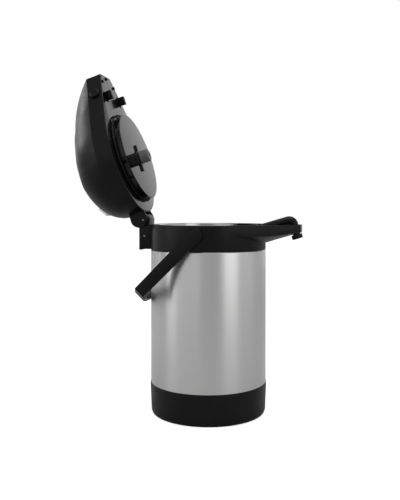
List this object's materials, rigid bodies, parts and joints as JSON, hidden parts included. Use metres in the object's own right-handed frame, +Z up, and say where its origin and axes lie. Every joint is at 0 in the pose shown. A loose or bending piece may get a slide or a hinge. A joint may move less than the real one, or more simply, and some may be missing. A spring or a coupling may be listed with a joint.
{
  "type": "thermal coffee airpot",
  "caption": "Steel vacuum airpot with black base, collar and spout nose, hinged pump lid standing open, tilting spout pipe and bail handle.",
  "frame": {"origin": "centre of the foot pad's flat underside, on the pot's axis", "axes": "+Z up the pot, +X towards the spout's nose, the lid hinge behind at -X, hinge and handle axes along Y"},
  "size_m": [0.3257, 0.176, 0.4734],
  "materials": {
    "black_plastic": "satin moulded black",
    "gloss_black": "smooth glossy black",
    "brushed_steel": "brushed round the body",
    "polished_steel": "bright",
    "black_rubber": "matt",
    "grey_rubber": "matt",
    "clear_silicone": "milky"
  },
  "bodies": {
    "pot": {"foot_pad": "black_rubber", "base_cup": "black_plastic", "base_screw": "polished_steel", "shell_bottom": "brushed_steel", "outer_shell": "brushed_steel", "inner_liner": "brushed_steel", "neck_gasket": "clear_silicone", "mouth_ring": "polished_steel", "collar": "black_plastic", "hinge_block": "black_plastic", "hinge_screw_lower": "polished_steel", "hinge_screw_upper": "polished_steel", "hinge_pin": "polished_steel", "release_pin": "polished_steel", "release_spring": "polished_steel", "handle_pin_left": "polished_steel", "handle_pin_right": "polished_steel", "handle_washer_left": "clear_silicone", "handle_washer_right": "clear_silicone", "stem_head": "black_plastic", "dip_tube": "clear_silicone", "tube_foot": "clear_silicone"},
    "release": {"release_lever": "black_plastic"},
    "handle_bail": {"handle": "black_plastic"},
    "spout": {"spout_pipe": "black_plastic", "nozzle_cap": "black_plastic"},
    "lid": {"lid_shell": "black_plastic", "lid_plate": "gloss_black", "plate_screw_1": "black_plastic", "plate_screw_2": "black_plastic", "plate_screw_3": "black_plastic", "lid_disc": "gloss_black", "disc_gasket": "black_rubber", "valve_body": "black_plastic", "valve_tip": "grey_rubber", "button_guide": "black_plastic", "bellows": "black_rubber", "bellows_spring": "polished_steel", "latch_spring_left": "polished_steel", "latch_spring_right": "polished_steel"},
    "valve_collar": {"valve_ring": "black_plastic"},
    "pump": {"pump_button": "black_plastic"},
    "lock": {"lock_slider": "polished_steel"},
    "latch_left": {"latch_button_left": "black_plastic", "latch_hook_left": "black_plastic"},
    "latch_right": {"latch_button_right": "black_plastic", "latch_hook_right": "black_plastic"}
  },
  "joints": [
    {"name": "lid_hinge", "type": "hinge", "parent": "pot", "child": "lid", "pos_m": [-0.0902, 0, 0.2659], "axis": [0, -1, 0], "range_deg": [-108.2, 0]},
    {"name": "spout_tilt", "type": "hinge", "parent": "pot", "child": "spout", "pos_m": [0.0732, 0, 0.2536], "axis": [0, -1, 0], "range_deg": [-19.6, 0]},
    {"name": "handle_swing", "type": "hinge", "parent": "pot", "child": "handle_bail", "pos_m": [0, 0, 0.2476], "axis": [0, 1, 0], "range_deg": [0, 48]},
    {"name": "release_press", "type": "hinge", "parent": "pot", "child": "release", "pos_m": [-0.0882, 0, 0.2434], "axis": [0, -1, 0], "range_deg": [0, 10], "stiffness_Nm_per_rad": 0.15, "deforming": ["release_spring"]},
    {"name": "pump_press", "type": "slide", "parent": "lid", "child": "pump", "axis": [0.95, 0, 0.3123], "range_m": [0, 0.025], "stiffness_N_per_m": 250, "deforming": ["bellows", "bellows_spring"]},
    {"name": "lock_slide", "type": "hinge", "parent": "lid", "child": "lock", "pos_m": [-0.11277, 0, 0.35343], "axis": [-0.95, 0, -0.3123], "range_deg": [-4, 4]},
    {"name": "valve_ring_turn", "type": "hinge", "parent": "lid", "child": "valve_collar", "pos_m": [-0.08622, -0.051, 0.34953], "axis": [0.95, 0, 0.3123], "range_deg": [0, 60]},
    {"name": "latch_press_left", "type": "slide", "parent": "lid", "child": "latch_left", "axis": [0.1552, -0.8678, -0.4721], "range_m": [-0.001, 0.003], "stiffness_N_per_m": 300, "deforming": ["latch_spring_left"]},
    {"name": "latch_press_right", "type": "slide", "parent": "lid", "child": "latch_right", "axis": [0.1552, 0.8678, -0.4721], "range_m": [-0.001, 0.003], "stiffness_N_per_m": 300, "deforming": ["latch_spring_right"]}
  ],
  "couplings": [
    {"joint": "spout_tilt", "follows": "lid_hinge", "ratio": 0.18}
  ]
}
